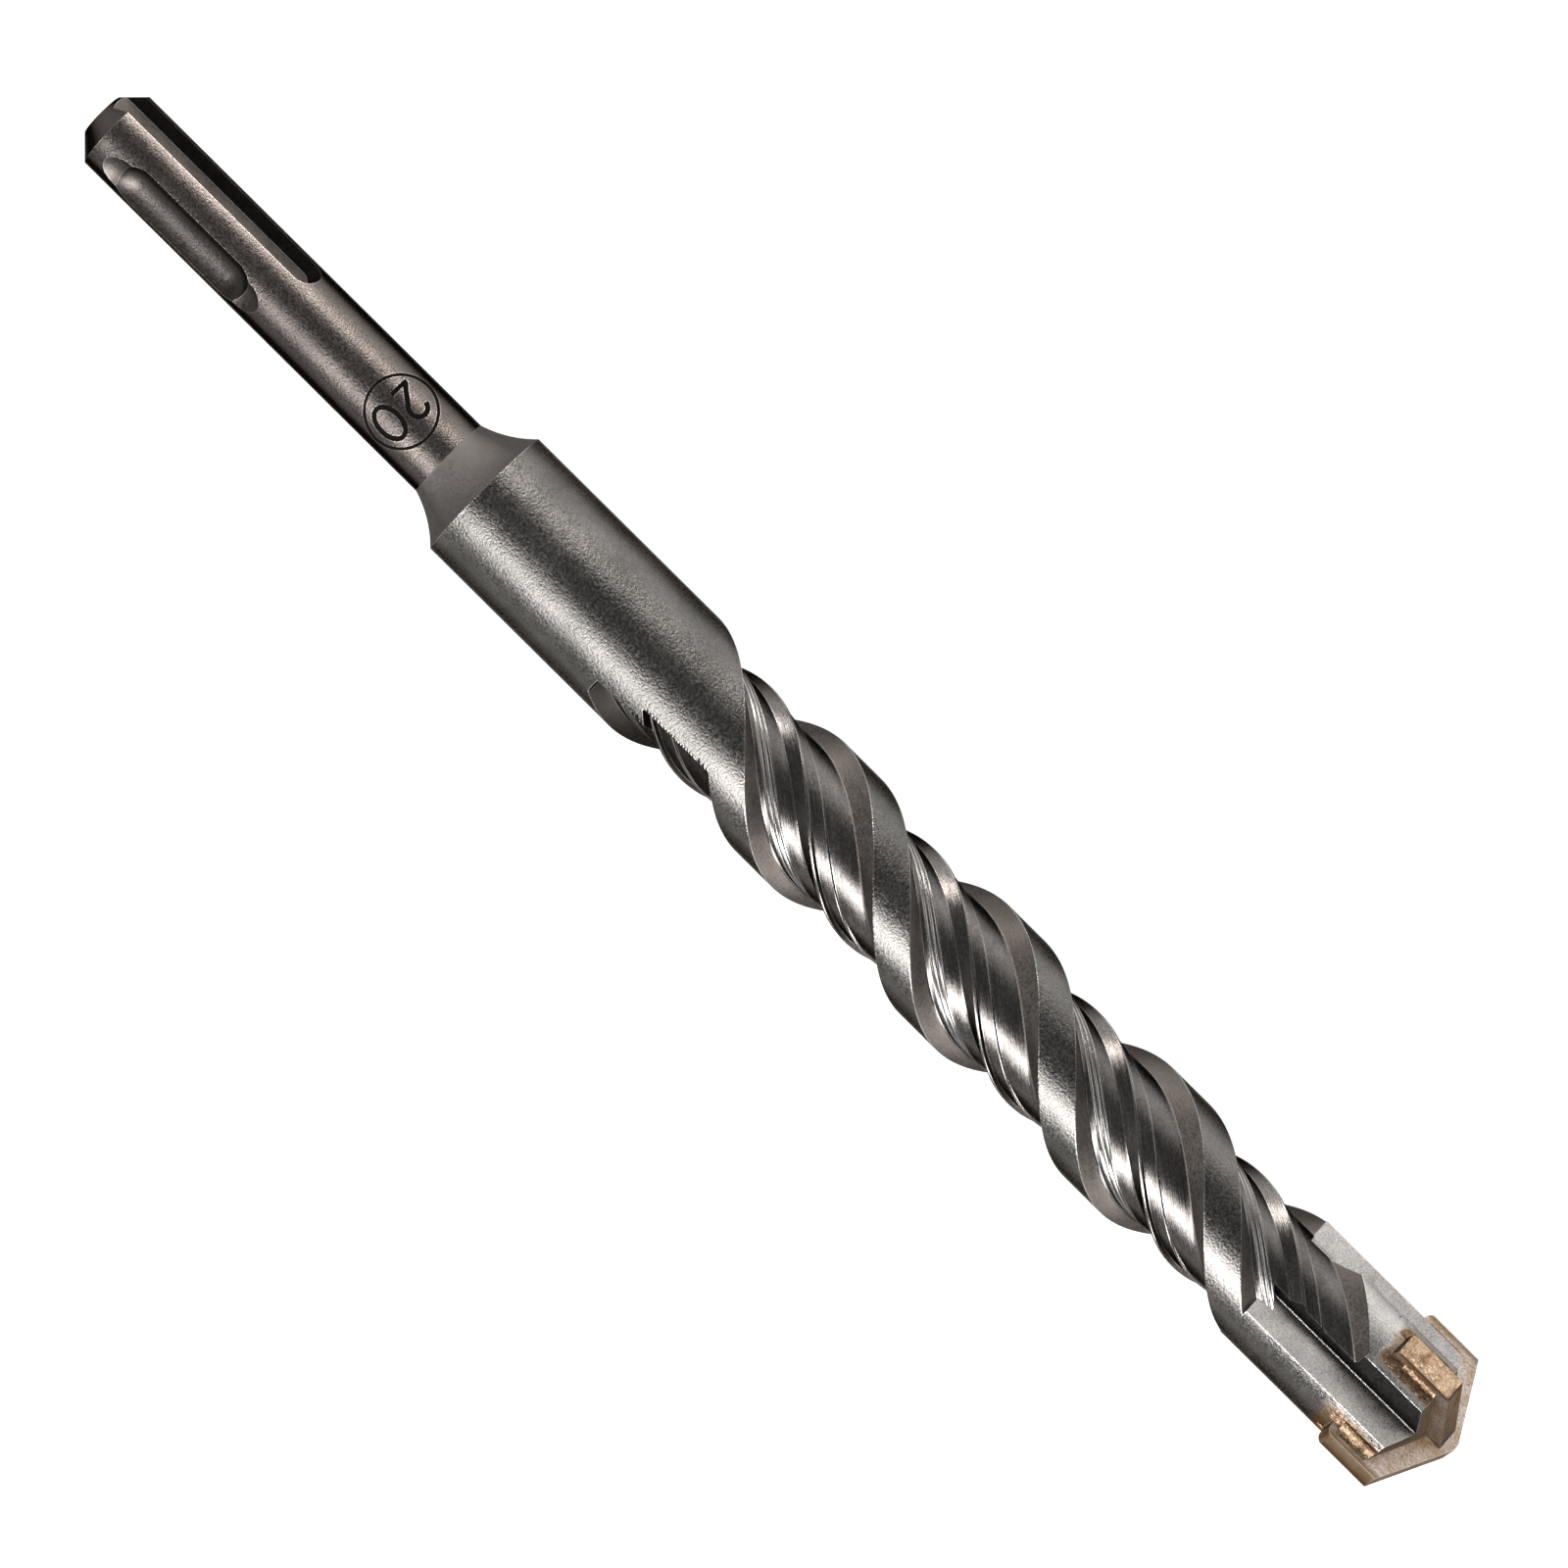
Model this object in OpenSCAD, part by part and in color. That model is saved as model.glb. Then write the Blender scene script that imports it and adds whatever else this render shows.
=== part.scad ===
// Hammer drill bit with a slotted quick-fit shank, a helical stem and a four-edge carbide head.
// Lengths in mm. +X runs along the axis to the point, the origin is the centre of the shank's end
// face, and Z is up with the bit lying on its stem between two arms of the head.
// Angles are measured about +X, from +Y towards +Z.

/* [Size] */
// Length over all, from the shank's end face to the point
overall_length = 205.6; // [160:0.1:310]
// Diameter that the carbide corners cut
cutting_diameter = 20; // [18:0.1:24]
// Diameter of the plain stem and of the helical lands
stem_diameter = 16.7; // [15:0.1:17.5]

/* [Shank] */
// Diameter of the standard shank
shank_diameter = 10; // [9.8:0.01:10]
// Length of the round shank up to the shoulder
shank_length = 52.8; // [48:0.1:60]
// Chamfer round the end face
end_chamfer = 2.3; // [1:0.1:2.6]
// Length of the two driving slots, which are open at the end face
drive_slot_length = 29.6; // [24:0.1:34]
// Width of a driving slot at its floor
drive_slot_floor_width = 2.7; // [2:0.1:3]
// Distance of a driving slot's floor from the axis
drive_slot_floor_height = 3.1; // [2.8:0.1:3.6]
// Widening of a driving slot for each millimetre of height
drive_slot_flare = 0.85; // [0:0.05:1]
// Angle of the first driving slot
drive_slot_angle = 26.5; // [0:0.5:60]
// Start of the ball groove's hollow, from the end face
ball_groove_start = 5.5; // [4.5:0.1:9]
// End of the ball groove's hollow, from the end face
ball_groove_end = 25.6; // [22:0.1:28]
// Radius of the ball groove's round bottom
ball_groove_radius = 3.3; // [3:0.1:3.6]
// Distance of the ball groove's bottom from the axis
ball_groove_floor_height = 3.2; // [3:0.1:3.8]
// Length that the shallow lead-in adds at each end of a ball groove
lead_in_length = 1.7; // [0.5:0.1:2]

/* [Shoulder] */
// Length of the concave shoulder between the shank and the stem
shoulder_length = 5.5; // [4:0.1:8]
// Radius of the shoulder's concave curve
shoulder_radius = 13; // [9:0.5:20]

/* [Flutes] */
// Advance of the helix in one turn
helix_lead = 50; // [40:1:70]
// Distance from the end face at which the first flutes begin
flute_start = 80; // [70:0.5:90]
// Height of the narrow rib between two flutes, from the axis
rib_radius = 7; // [6.7:0.05:7.3]
// Height of the ledge beside the rib, from the axis
ledge_radius = 6.45; // [6.3:0.05:6.6]
// Floor of the ledged flute, from the axis
ledged_floor_radius = 6.22; // [5.9:0.02:6.3]
// Floor of the plain flute at its land, from the axis
plain_floor_radius = 6.36; // [6:0.02:6.5]
// Floor of the plain flute at the rib, from the axis
plain_floor_low_radius = 5.95; // [5.6:0.05:6.1]
// Steps of the helix along the stem
helix_steps = 52; // [40:1:90]

/* [Head] */
// Thickness of the cross-shaped steel head's arms
arm_thickness = 7; // [5.5:0.1:7.6]
// Length of the first pair of arms back from the point
long_arm_length = 27; // [22:0.5:30]
// Length of the second pair of arms back from the point
short_arm_length = 14.6; // [13.5:0.1:18]
// Full angle of the point
point_angle = 130; // [120:1:140]
// Thickness of the carbide plates
plate_thickness = 2.8; // [2.2:0.1:3.2]
// Height of a carbide plate's outer edge along the axis
plate_edge_height = 7.4; // [5:0.1:8]
// Distance that the half plates stand back from the long plate
side_set_back = 0.8; // [0:0.1:1.5]
// Distance of the steel's roof behind the long plate's
roof_set_back = 2.3; // [0.5:0.1:3]
// Radius of a plate's rounded back corners
plate_corner_radius = 1.1; // [0.5:0.1:1.5]
// Width of the flat at the very tip
tip_flat_width = 0.9; // [0.4:0.1:1.4]
// Thickness of the brazing film round the plates
braze_film = 0.15; // [0.1:0.01:0.25]
// Leg of the braze bead on a plate's trailing side
trailing_bead = 1.2; // [0.6:0.05:1.4]
// Leg of the braze bead on a plate's leading side
leading_bead = 0.7; // [0.3:0.05:0.9]

/* [Hidden] */
$fn = 96;
shank_radius = shank_diameter / 2;
stem_radius = stem_diameter / 2;
cutting_radius = cutting_diameter / 2;
shoulder_end = shank_length + shoulder_length;
steel = [0.42, 0.4, 0.38];
carbide = [0.72, 0.66, 0.56];
braze = [0.75, 0.52, 0.26];

// The point is a cone whose slope is the rise for each millimetre of radius.
point_slope = 1 / tan(point_angle / 2);
cone_height = point_slope * cutting_radius;
corner_x = overall_length - cone_height + point_slope * tip_flat_width / 2;
plate_back_x = corner_x - plate_edge_height;

// One half turn of the stem's cross-section as angle behind the rib's crest and radius.
rib_half_width = 1.9;
ledge_start = 2.8;
ledge_end = 19.6;
ledged_floor_start = 20.9;
ledged_floor_end = 55.8;
land_start = 70.6;
land_end = 111.1;
plain_floor_start = 122.5;
plain_floor_end = 163.5;
half_turn = 180;

// The crest of one rib stands at this angle where the helix is measured.
rib_angle = -14.5;
rib_station = 120.1;
turn_rate = 360 / helix_lead;
function helix_angle(x) = rib_angle + turn_rate * (x - rib_station);

// The run-outs are cut by planes that ramp down from the surface into the flutes.
run_out_depth = 4.2;
plain_run_out_angle = -1.5;
ledged_run_out_angle = 167;
plain_run_out_end = flute_start + 12;
stem_start = flute_start + 19;
ledged_run_out_start = flute_start + 5;

long_arm_start = overall_length - long_arm_length;
short_arm_start = overall_length - short_arm_length;
long_arm_angle = 135;
short_arm_angle = 45;
skin_gap = 0.02;
land_radius = stem_radius - skin_gap;
braze_sink = 0.5;
bead_setback = 0.9;
trailing_lean = 1.22;
reach = 2 * cutting_radius;

function at(angle, radius) = [radius * cos(angle), radius * sin(angle)];
function blend(from, to, part) = from + (to - from) * part;
function along(from, to, steps) = [for (i = [0 : steps]) blend(from, to, i / steps)];
function halfway(a, b) = let (p = (at(a[0], a[1]) + at(b[0], b[1])) / 2)
    [atan2(p[1], p[0]), norm(p)];

// One half turn of the helical section: angle behind the rib's crest, and radius.
ledged_wall = [[ledged_floor_end, ledged_floor_radius], [land_start, land_radius]];
plain_wall = [[land_end, land_radius], [plain_floor_start, plain_floor_radius]];
half_section = concat(
    [[-rib_half_width, rib_radius], [rib_half_width, rib_radius], [ledge_start, ledge_radius]],
    [[ledge_end, ledge_radius]],
    along([ledged_floor_start, ledged_floor_radius], ledged_wall[0], 4),
    [halfway(ledged_wall[0], ledged_wall[1])],
    along(ledged_wall[1], plain_wall[0], 6),
    [halfway(plain_wall[0], plain_wall[1])],
    along(plain_wall[1], [plain_floor_end, plain_floor_low_radius], 4)
);
half_count = len(half_section);
ring_count = 2 * half_count;

// Rings stand close together where the flutes begin and wider apart along the helix.
ring_stations = concat(
    along(flute_start - 1.5, stem_start, 24),
    [for (i = [1 : helix_steps]) blend(stem_start, short_arm_start + 0.5, i / helix_steps)]
);

// A flute starts on a plane that ramps down from the surface; outside it the stem stays round.
function ramp_radius(angle, ramp_angle) =
    let (lean = cos(angle - ramp_angle))
    lean > run_out_depth / land_radius ? run_out_depth / lean : land_radius;
function begins(s) = s > land_end || s < 0 ? plain_run_out_angle : ledged_run_out_angle;
function ends(s) = s > land_end || s < 0 ? plain_run_out_end : stem_start;
function starts(s) = s > land_end || s < 0 ? flute_start : ledged_run_out_start;
function ring_radius(s, radius, angle, x) =
    x <= starts(s) ? land_radius
    : x >= ends(s) ? radius
    : max(radius, ramp_radius(angle, begins(s)));
function ring_point(s, radius, side, x) =
    let (r = ring_radius(s, radius, helix_angle(x) - s, x))
    [x, r * cos(helix_angle(x) - s + side), r * sin(helix_angle(x) - s + side)];
function ring(x) = [
    for (side = [0, half_turn]) for (p = half_section) ring_point(p[0], p[1], -side, x)
];

module helical_stem() {
    last = len(ring_stations) - 1;
    points = [for (x = ring_stations) each ring(x)];
    near_cap = [[for (i = [ring_count - 1 : -1 : 0]) i]];
    far_cap = [[for (i = [0 : ring_count - 1]) last * ring_count + i]];
    skin = [
        for (k = [0 : last - 1]) for (i = [0 : ring_count - 1])
            let (a = k * ring_count + i, b = k * ring_count + (i + 1) % ring_count)
                each [[a, b, a + ring_count], [b, b + ring_count, a + ring_count]]
    ];
    polyhedron(points = points, faces = concat(near_cap, skin, far_cap), convexity = 8);
}

module along_axis(x) {
    translate([x, 0, 0])
        rotate([90, 0, 90])
            children();
}

module drive_slot() {
    lip = shank_radius + 0.5;
    depth = lip - drive_slot_floor_height;
    floor_half = drive_slot_floor_width / 2;
    lip_half = floor_half + drive_slot_flare * depth / 2;
    centre_x = drive_slot_length - floor_half - drive_slot_flare * (shank_radius - drive_slot_floor_height) / 2;
    along_axis(-1)
        linear_extrude(height = centre_x + 1)
            polygon([
                [drive_slot_floor_height, -floor_half],
                [lip, -lip_half],
                [lip, lip_half],
                [drive_slot_floor_height, floor_half]
            ]);
    translate([centre_x, drive_slot_floor_height, 0])
        rotate([-90, 0, 0])
            cylinder(h = depth, r1 = floor_half, r2 = lip_half);
}

// A round-ended trough cutter, turned about its own axis.
module capsule(x_start, x_end, radius, height) {
    translate([x_start, height, 0])
        rotate([90, 0, 90])
            rotate_extrude()
                intersection() {
                    union() {
                        square([radius, x_end - x_start]);
                        circle(r = radius);
                        translate([0, x_end - x_start])
                            circle(r = radius);
                    }
                    translate([0, -radius])
                        square([radius, x_end - x_start + 2 * radius]);
                }
}

module ball_groove() {
    centre_height = ball_groove_floor_height + ball_groove_radius;
    rise = centre_height - shank_radius;
    half_run = sqrt(ball_groove_radius * ball_groove_radius - rise * rise);
    capsule(
        ball_groove_start + half_run,
        ball_groove_end - half_run,
        ball_groove_radius,
        centre_height
    );
    lead_radius = ball_groove_radius + 1.3;
    lead_height = lead_radius + shank_radius - 0.7;
    lead_rise = lead_height - shank_radius;
    lead_run = sqrt(lead_radius * lead_radius - lead_rise * lead_rise);
    capsule(
        ball_groove_start - lead_in_length + lead_run,
        ball_groove_end + lead_in_length - lead_run,
        lead_radius,
        lead_height
    );
}

// Outline of shank, shoulder and plain stem, turned about the axis.
module turned_outline() {
    rise = stem_radius - shank_radius;
    chord = sqrt(rise * rise + shoulder_length * shoulder_length);
    chord_angle = atan2(rise, shoulder_length);
    half_sweep = asin(chord / 2 / shoulder_radius);
    centre = [
        shank_length + shoulder_length / 2 - sin(chord_angle) * shoulder_radius * cos(half_sweep),
        shank_radius + rise / 2 + cos(chord_angle) * shoulder_radius * cos(half_sweep)
    ];
    difference() {
        polygon([
            [0, 0],
            [shank_radius - end_chamfer, 0],
            [shank_radius, end_chamfer],
            [shank_radius, shank_length],
            [stem_radius, shoulder_end],
            [stem_radius, flute_start - 1],
            [0, flute_start - 1]
        ]);
        intersection() {
            translate([centre[1], centre[0]])
                circle(r = shoulder_radius);
            translate([shank_radius, shank_length])
                square([rise, shoulder_length]);
        }
    }
}

module turned_blank() {
    along_axis(0)
        rotate_extrude()
            turned_outline();
}

module arm_pair(angle, x_start, x_end) {
    intersection() {
        along_axis(x_start)
            cylinder(h = x_end - x_start, r = stem_radius);
        along_axis(x_start)
            rotate([0, 0, angle])
                translate([-reach / 2, -arm_thickness / 2, 0])
                    cube([reach, arm_thickness, x_end - x_start]);
    }
}

// The plates' outline across the axis: outer edges on the cutting circle, a pointed roof and
// rounded back corners.
module plate_outline() {
    back = plate_back_x;
    side = cutting_radius;
    difference() {
        polygon([
            [back, -side],
            [corner_x, -side],
            [overall_length, -tip_flat_width / 2],
            [overall_length, tip_flat_width / 2],
            [corner_x, side],
            [back, side]
        ]);
        for (s = [-1, 1])
            difference() {
                translate([back - 1, s > 0 ? side - plate_corner_radius : -side - 1])
                    square([1 + plate_corner_radius, 1 + plate_corner_radius]);
                translate([back + plate_corner_radius, s * (side - plate_corner_radius)])
                    circle(r = plate_corner_radius);
            }
    }
}

module cutting_envelope() {
    along_axis(plate_back_x - 2)
        cylinder(h = overall_length - plate_back_x + 4, r = cutting_radius);
}

module plate_blank(set_back) {
    translate([-set_back, 0, -plate_thickness / 2])
        linear_extrude(height = plate_thickness)
            plate_outline();
}

module main_cutter() {
    color(carbide)
        intersection() {
            rotate([long_arm_angle, 0, 0])
                plate_blank(0);
            cutting_envelope();
        }
}

module side_cutter(angle) {
    gap = plate_thickness / 2 + braze_film;
    intersection() {
        rotate([angle, 0, 0])
            intersection() {
                plate_blank(side_set_back);
                translate([plate_back_x - 2, gap, -plate_thickness])
                    cube([reach, reach, 2 * plate_thickness]);
            }
        cutting_envelope();
    }
}

module side_cutter_upper() {
    color(carbide)
        side_cutter(short_arm_angle);
}

module side_cutter_lower() {
    color(carbide)
        side_cutter(short_arm_angle + half_turn);
}

// The space that the plates and their braze take up in the head.
module slot_space() {
    for (slot = [[long_arm_angle, 0], [short_arm_angle, side_set_back]])
        rotate([slot[0], 0, 0])
            translate([
                plate_back_x - slot[1] - braze_film,
                -reach,
                -plate_thickness / 2 - braze_film
            ])
                cube([reach, 2 * reach, plate_thickness + 2 * braze_film]);
}

module head_roof() {
    roof_radius = stem_radius + 1;
    roof_x = overall_length - roof_set_back;
    along_axis(roof_x - point_slope * roof_radius)
        cylinder(h = point_slope * roof_radius, r1 = roof_radius, r2 = 0);
    along_axis(long_arm_start - 1)
        cylinder(h = roof_x - point_slope * roof_radius - long_arm_start + 1, r = roof_radius);
}

module head() {
    difference() {
        intersection() {
            union() {
                arm_pair(long_arm_angle, long_arm_start, overall_length);
                arm_pair(short_arm_angle, short_arm_start, overall_length);
            }
            head_roof();
        }
        slot_space();
    }
}

// The four spaces between the arms. Beside a long arm's trailing flat the space ends on a slant,
// and beside its leading flat it ends square.
module arm_gaps() {
    corner = arm_thickness / 2 - skin_gap;
    slant_x = long_arm_start + trailing_lean * (reach - corner);
    for (side = [0, half_turn]) {
        along_axis(long_arm_start)
            rotate([0, 0, long_arm_angle + side])
                translate([corner, corner, 0])
                    cube([reach, reach, long_arm_length]);
        rotate([short_arm_angle + side, 0, 0])
            translate([0, reach, 0])
                rotate([90, 0, 0])
                    linear_extrude(height = reach - corner)
                        polygon([
                            [long_arm_start, corner],
                            [overall_length, corner],
                            [overall_length, reach],
                            [slant_x, reach]
                        ]);
    }
}

module drill_body() {
    color(steel) {
        difference() {
            turned_blank();
            for (side = [0, half_turn]) {
                rotate([drive_slot_angle + side, 0, 0])
                    drive_slot();
                rotate([drive_slot_angle + 90 + side, 0, 0])
                    ball_groove();
            }
        }
        difference() {
            helical_stem();
            arm_gaps();
        }
        head();
    }
}

// A bead with a hollow face, in the corner between a plate and the land of its arm.
module bead_section(leg) {
    difference() {
        translate([-braze_sink, 0])
            square([leg + braze_sink, leg]);
        translate([leg, leg])
            circle(r = leg);
    }
}

module beads() {
    wall = plate_thickness / 2;
    foot = sqrt(stem_radius * stem_radius - wall * wall);
    run = overall_length - plate_back_x;
    for (angle = [0 : 90 : 270])
        along_axis(plate_back_x + bead_setback)
            rotate([0, 0, short_arm_angle + angle]) {
                translate([foot, wall])
                    linear_extrude(height = run)
                        bead_section(leading_bead);
                translate([foot, -wall])
                    mirror([0, 1])
                        linear_extrude(height = run)
                            bead_section(trailing_bead);
            }
}

module braze_filler() {
    color(braze)
        difference() {
            intersection() {
                union() {
                    intersection() {
                        slot_space();
                        along_axis(plate_back_x - 1)
                            cylinder(h = reach, r = stem_radius);
                    }
                    difference() {
                        beads();
                        along_axis(plate_back_x - 1)
                            cylinder(h = reach, r = stem_radius);
                    }
                }
                head_roof();
            }
            rotate([long_arm_angle, 0, 0])
                plate_blank(0);
            rotate([short_arm_angle, 0, 0])
                plate_blank(side_set_back);
        }
}

drill_body();
main_cutter();
side_cutter_upper();
side_cutter_lower();
braze_filler();
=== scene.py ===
import math

import bpy
from mathutils import Matrix, Vector, noise


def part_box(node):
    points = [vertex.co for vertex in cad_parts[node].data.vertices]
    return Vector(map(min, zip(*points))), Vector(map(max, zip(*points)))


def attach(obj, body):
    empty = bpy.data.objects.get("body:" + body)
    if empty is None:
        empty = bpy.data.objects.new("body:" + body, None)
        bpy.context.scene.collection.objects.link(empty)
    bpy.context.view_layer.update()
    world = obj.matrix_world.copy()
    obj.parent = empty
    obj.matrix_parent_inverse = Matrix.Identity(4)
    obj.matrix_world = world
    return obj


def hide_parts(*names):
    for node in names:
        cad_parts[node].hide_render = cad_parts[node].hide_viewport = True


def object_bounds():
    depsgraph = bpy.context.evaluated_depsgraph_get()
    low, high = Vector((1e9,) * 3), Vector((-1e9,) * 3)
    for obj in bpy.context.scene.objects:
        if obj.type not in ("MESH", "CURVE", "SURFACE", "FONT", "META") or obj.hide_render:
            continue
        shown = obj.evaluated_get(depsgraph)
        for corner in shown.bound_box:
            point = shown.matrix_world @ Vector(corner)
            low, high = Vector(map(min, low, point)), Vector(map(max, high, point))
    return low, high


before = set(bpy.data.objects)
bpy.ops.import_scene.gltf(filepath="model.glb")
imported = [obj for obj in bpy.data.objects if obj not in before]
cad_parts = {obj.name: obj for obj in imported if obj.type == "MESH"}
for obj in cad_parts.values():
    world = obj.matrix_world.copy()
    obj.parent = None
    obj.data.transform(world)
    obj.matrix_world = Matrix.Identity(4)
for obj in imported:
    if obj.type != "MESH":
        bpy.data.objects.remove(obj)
cad_low, cad_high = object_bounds()

# Steel bar
# One bar of hardened alloy steel: the shank is turned and blasted, the stem and its lands keep a
# rolled skin, the flutes are milled and the cross of the head is ground. All of it is one piece.
mm = 0.001
overall_length = cad_high.x / mm
shank_radius = 5.0
end_chamfer = 2.3
shank_length = 52.8
shoulder_length = 5.5
shoulder_radius = 13.0
stem_radius = 8.35
shoulder_end = shank_length + shoulder_length
flute_start = 81.4
helix_lead = 50.0
rib_angle = -14.5
rib_station = 120.1
half_turn = 180.0
quarter_circle = 1.5708
full_circle = 6.2832


def helix_angle(x):
    """Angle of a rib's crest at x, from +Y towards +Z, in degrees."""
    return rib_angle + 360 / helix_lead * (x - rib_station)


def steps(start, end, count):
    return [start + (end - start) * i / count for i in range(count + 1)]


def stretch(start, end, count):
    """Section points from (angle, radius) to (angle, radius), without the last."""
    return [
        (start[0] + (end[0] - start[0]) * i / count, start[1] + (end[1] - start[1]) * i / count)
        for i in range(count)
    ]


# Half a turn of the fluted section: angle behind the rib's crest, and radius. The lands, the rib
# and the ledge have broken edges, and the plain flute's floor keeps the cutter's fine steps.
edge_break = 0.09
cutter_step = 0.035
rib = [(-1.9, 6.93), (-1.3, 7.0), (0, 7.02), (1.3, 7.0), (1.9, 6.94), (2.8, 6.45)]
ledge = stretch((2.8, 6.45), (19.1, 6.45), 5)[1:] + [(19.1, 6.45), (19.7, 6.42), (20.3, 6.3)]
ledged_floor = stretch((20.9, 6.22), (54.8, 6.22), 12)
ledged_wall = [(54.8, 6.22), (56.2, 6.27), (58.2, 6.5), (62.4, 7.08), (66.8, 7.72), (69.9, 8.2)]
land = [(70.7, stem_radius - 0.025), (71.6, stem_radius)]
land += stretch((71.6, stem_radius), (110.1, stem_radius), 14)[1:]
land += [(110.1, stem_radius), (111.0, stem_radius - 0.025)]
plain_wall = [(111.8, 8.2), (114.3, 7.74), (118.1, 7.1), (121.4, 6.54), (123, 6.38)]
plain_floor = [(125, 6.34), (128.4, 6.31)]
plain_floor += [
    (128.6 + 1.3 * i, 6.31 - 0.012 * i - cutter_step * (0, 1.1, -0.2, 1.4, 0.3)[i % 5])
    for i in range(13)
]
plain_floor += stretch((147, 6.13), (162.5, 5.96), 8) + [(162.5, 5.96), (164.5, 5.97)]
flank = [(168.2, 6.2), (173.5, 6.55), (177.2, 6.86)]
half_section = rib + ledge + ledged_floor + ledged_wall + land + plain_wall + plain_floor + flank
section = [(angle, radius, side) for side in (0, half_turn) for angle, radius in half_section]
section.reverse()

# The flutes start on planes that ramp down into the stem.
run_out_depth = 4.2
plain_run_out = (-1.5, flute_start, flute_start + 12)
ledged_run_out = (167.0, flute_start + 5, flute_start + 19)
land_end = 111.1


def bar_radius(x):
    """Radius of the turned bar from the end face to the stem."""
    if x < end_chamfer:
        return shank_radius - end_chamfer + x
    if x <= shank_length:
        return shank_radius
    if x >= shoulder_end:
        return stem_radius
    rise = stem_radius - shank_radius
    chord = math.hypot(rise, shoulder_length)
    sweep = math.asin(chord / 2 / shoulder_radius)
    reach = shoulder_radius * math.cos(sweep)
    centre_x = shank_length + shoulder_length / 2 - rise / chord * reach
    centre_r = shank_radius + rise / 2 + shoulder_length / chord * reach
    return centre_r - math.sqrt(shoulder_radius**2 - (x - centre_x) ** 2)


def fluted_radius(behind, radius, x):
    """Radius at x of the section's point that lies that angle behind a rib's crest."""
    if behind < 0:
        behind += half_turn
    plain = behind > land_end
    ramp_angle, begin, end = plain_run_out if plain else ledged_run_out
    if x <= begin:
        return stem_radius
    if x >= end:
        return radius
    lean = math.cos(math.radians(helix_angle(x) - behind - ramp_angle))
    ramp = run_out_depth / lean if lean > run_out_depth / stem_radius else stem_radius
    return max(radius, ramp)


def add_piece(name, points, faces):
    mesh = bpy.data.meshes.new(name)
    mesh.from_pydata([Vector(p) * mm for p in points], [], faces)
    mesh.update()
    piece = bpy.data.objects.new(name, mesh)
    bpy.context.scene.collection.objects.link(piece)
    return piece


def loft(name, rings, joined=False):
    """A skin through rings of points, which run anticlockwise seen from the far end."""
    count = len(rings[0])
    points = [p for ring in rings for p in ring]
    faces = []
    for k in range(len(rings) if joined else len(rings) - 1):
        near, far = k * count, (k + 1) % len(rings) * count
        for i in range(count):
            after = (i + 1) % count
            faces.append((near + i, near + after, far + after, far + i))
    if not joined:
        faces.append(tuple(range(count - 1, -1, -1)))
        faces.append(tuple(range(len(points) - count, len(points))))
    return add_piece(name, points, faces)


def around(x, radius, angle):
    a = math.radians(angle)
    return (x, radius * math.cos(a), radius * math.sin(a))


def bar_ring(x):
    turn = helix_angle(max(x, flute_start - 1))
    if x < flute_start - 1:
        return [around(x, bar_radius(x), turn - s - side) for s, r, side in section]
    return [around(x, fluted_radius(s, r, x), turn - s - side) for s, r, side in section]


long_arm_start = overall_length - 27
short_arm_start = overall_length - 14.6
stations = [0] + steps(end_chamfer, shank_length, 26) + steps(shank_length, shoulder_end, 12)[1:]
stations += steps(shoulder_end, flute_start - 1, 12)[1:]
stations += steps(flute_start - 0.8, flute_start + 19, 110)
stations += steps(flute_start + 19, short_arm_start + 0.5, 300)[1:]
bar = loft("bar", [bar_ring(x) for x in stations])


def cut(piece, tool, operation="DIFFERENCE"):
    """Joins, cuts or trims the piece with the tool, which is used up."""
    step = piece.modifiers.new("step", "BOOLEAN")
    step.operation = operation
    step.solver = "MANIFOLD"
    step.object = tool
    graph = bpy.context.evaluated_depsgraph_get()
    mesh = bpy.data.meshes.new_from_object(piece.evaluated_get(graph))
    piece.modifiers.clear()
    old = piece.data
    piece.data = mesh
    bpy.data.meshes.remove(old)
    bpy.data.objects.remove(tool)


def turned(outline, segments=64):
    """A solid turned about the axis from (x, radius) points."""
    return loft(
        "turned",
        [[around(x, r, 360 * i / segments) for i in range(segments)] for x, r in outline],
    )


def prism(outline, x_start, x_end, angle):
    """A solid along the axis from an outline of (y, z) points, turned by the angle."""
    turn = Matrix.Rotation(math.radians(angle), 3, "X")
    rings = [[turn @ Vector((x, y, z)) for y, z in outline] for x in (x_start, x_end)]
    return loft("prism", rings)


arm_thickness = 7.0
long_arm_angle = 135.0
short_arm_angle = 45.0
arm_half = arm_thickness / 2
reach = 20.0
corner = arm_half - 0.02
slant_x = long_arm_start + 1.22 * (reach - corner)
square_gap = [(corner, corner), (reach, corner), (reach, reach), (corner, reach)]
slanted_gap = [
    (long_arm_start, corner),
    (slant_x, reach),
    (overall_length, reach),
    (overall_length, corner),
]
for side in (0, half_turn):
    cut(bar, prism(square_gap, long_arm_start, overall_length, long_arm_angle + side))
    turn = Matrix.Rotation(math.radians(short_arm_angle + side), 3, "X")
    rings = [[turn @ Vector((x, y, z)) for x, z in slanted_gap] for y in (corner, reach)]
    cut(bar, loft("slanted_gap", rings))


def arms(x_start, angle):
    """One pair of the head's arms, with rounded lands and small broken edges."""
    half_arc = math.degrees(math.asin((arm_half - edge_break) / stem_radius))
    arc = steps(-half_arc, half_arc, 14)
    land_points = [
        (stem_radius * math.cos(math.radians(a)), stem_radius * math.sin(math.radians(a)))
        for a in arc
    ]
    edge_y = land_points[0][0] - edge_break
    side = [(edge_y, -arm_half)] + land_points + [(edge_y, arm_half)]
    outline = side + [(-y, -z) for y, z in side]
    return prism(outline, x_start, overall_length + 1, angle)


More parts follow.
